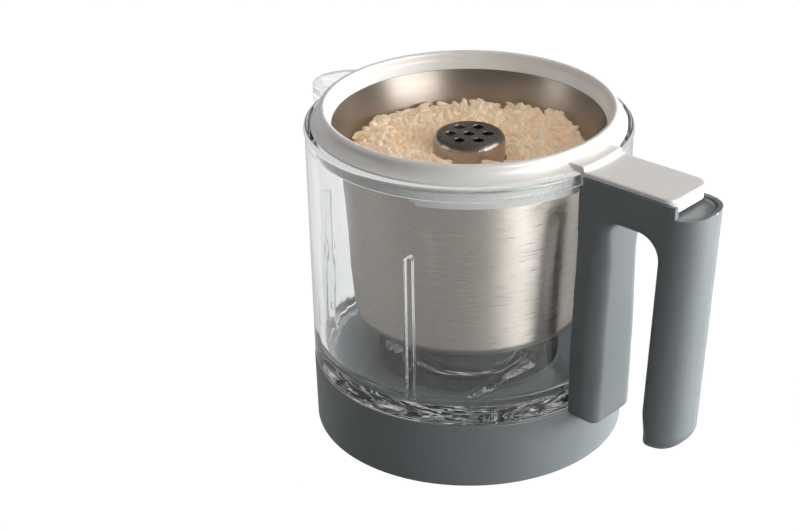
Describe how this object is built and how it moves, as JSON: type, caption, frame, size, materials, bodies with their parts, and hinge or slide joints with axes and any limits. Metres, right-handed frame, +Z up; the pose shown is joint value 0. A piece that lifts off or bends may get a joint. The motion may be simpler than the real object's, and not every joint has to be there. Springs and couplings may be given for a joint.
{
  "type": "baby food maker jug",
  "caption": "Glass blending and steaming jug with a hooked handle, a spinning blade unit and a lift-out steel grain cooking insert with a steam chimney.",
  "frame": {"origin": "centre of the base's underside, on the table plane under the bowl's axis", "axes": "+Z up along the bowl's axis, +X along the handle, the spout towards -X"},
  "size_m": [0.2105, 0.14, 0.1474],
  "materials": {
    "clear_glass": "clear tempered glass, polished",
    "silicone_white": "translucent white silicone, satin",
    "charcoal_plastic": "charcoal grey moulded plastic, satin with a fine texture",
    "dark_plastic": "dark grey moulded plastic, matt",
    "grey_panel": "mid grey moulded plastic, satin",
    "steel_fastener": "zinc-plated or stainless steel",
    "black_rubber": "black rubber, matt",
    "bush_bronze": "oil-filled sintered bronze",
    "steel_polished": "polished stainless steel",
    "pot_steel": "stainless steel, fine horizontal brushing",
    "ring_white": "warm white moulded plastic, satin"
  },
  "bodies": {
    "jug": {"glass_bowl": "clear_glass", "bowl_gasket": "black_rubber", "base_collar": "charcoal_plastic", "base_cover": "dark_plastic", "cover_screws": "steel_fastener", "anti_slip_feet": "black_rubber", "bowl_clamp": "dark_plastic", "clamp_screws": "steel_fastener", "handle_shell": "charcoal_plastic", "handle_inset": "grey_panel", "spine_cover": "dark_plastic", "handle_bracket": "steel_fastener", "bracket_screws": "steel_fastener", "bearing_housing": "dark_plastic", "housing_gasket": "black_rubber", "upper_bush": "bush_bronze", "lower_bush": "bush_bronze", "shaft_seal": "black_rubber"},
    "rotor": {"blade_shaft": "steel_polished", "thrust_washer": "dark_plastic", "blade_hub": "steel_polished", "lower_blade": "steel_polished", "blade_spacer": "steel_polished", "upper_blade": "steel_polished", "hub_cap": "dark_plastic", "circlip": "steel_fastener", "drive_coupler": "dark_plastic"},
    "washer": {"nut_washer": "dark_plastic"},
    "nut": {"retaining_nut": "dark_plastic"},
    "insert": {"insert_pot": "pot_steel", "steam_chimney": "pot_steel", "insert_ring": "ring_white", "ring_clamp": "ring_white", "ring_seal": "silicone_white"}
  },
  "joints": [
    {"name": "insert_lift", "type": "slide", "parent": "jug", "child": "insert", "axis": [0, 0, 1], "range_m": [0, 0.11]},
    {"name": "blade_spin", "type": "hinge", "parent": "jug", "child": "rotor", "pos_m": [0, 0, 0.045], "axis": [0, 0, 1], "continuous": true},
    {"name": "nut_drop", "type": "slide", "parent": "jug", "child": "washer", "axis": [0, 0, -1], "range_m": [0, 0.006]},
    {"name": "nut_unscrew", "type": "hinge", "parent": "washer", "child": "nut", "pos_m": [0, 0, 0.026], "axis": [0, 0, -1], "range_deg": [0, 720]}
  ],
  "couplings": [
    {"joint": "nut_drop", "follows": "nut_unscrew", "m_per_rad": 0.00047746}
  ]
}
